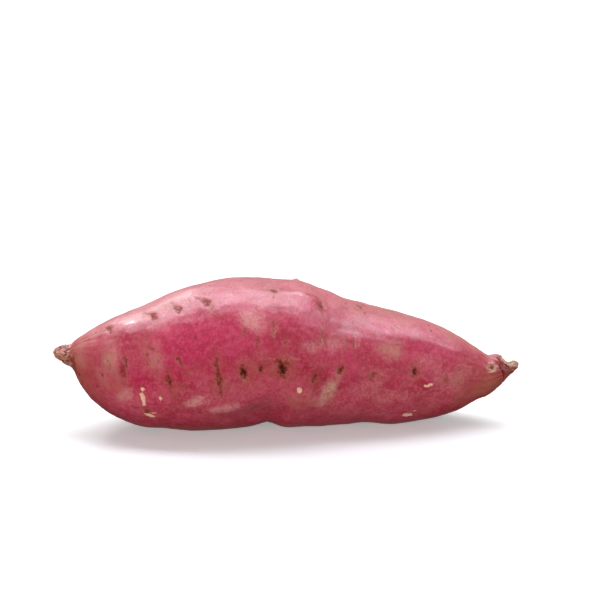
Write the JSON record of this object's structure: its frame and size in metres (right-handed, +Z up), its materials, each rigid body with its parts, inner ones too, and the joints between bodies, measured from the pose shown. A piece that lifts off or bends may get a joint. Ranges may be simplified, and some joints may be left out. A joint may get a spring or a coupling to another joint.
{
  "type": "sweet potato",
  "caption": "Whole red-skinned sweet potato lying on its side: a plump root with a short broken stem stub at one end and a tapering, upturned tail at the other.",
  "frame": {"origin": "middle of the bounding box, on the surface that the root lies on", "axes": "+X along the root from the stem end to the tail, +Y to the back, +Z up"},
  "size_m": [0.199, 0.064, 0.0648],
  "materials": {
    "skin": "satin"
  },
  "bodies": {
    "root": {"sweet_potato": "skin"}
  },
  "joints": []
}
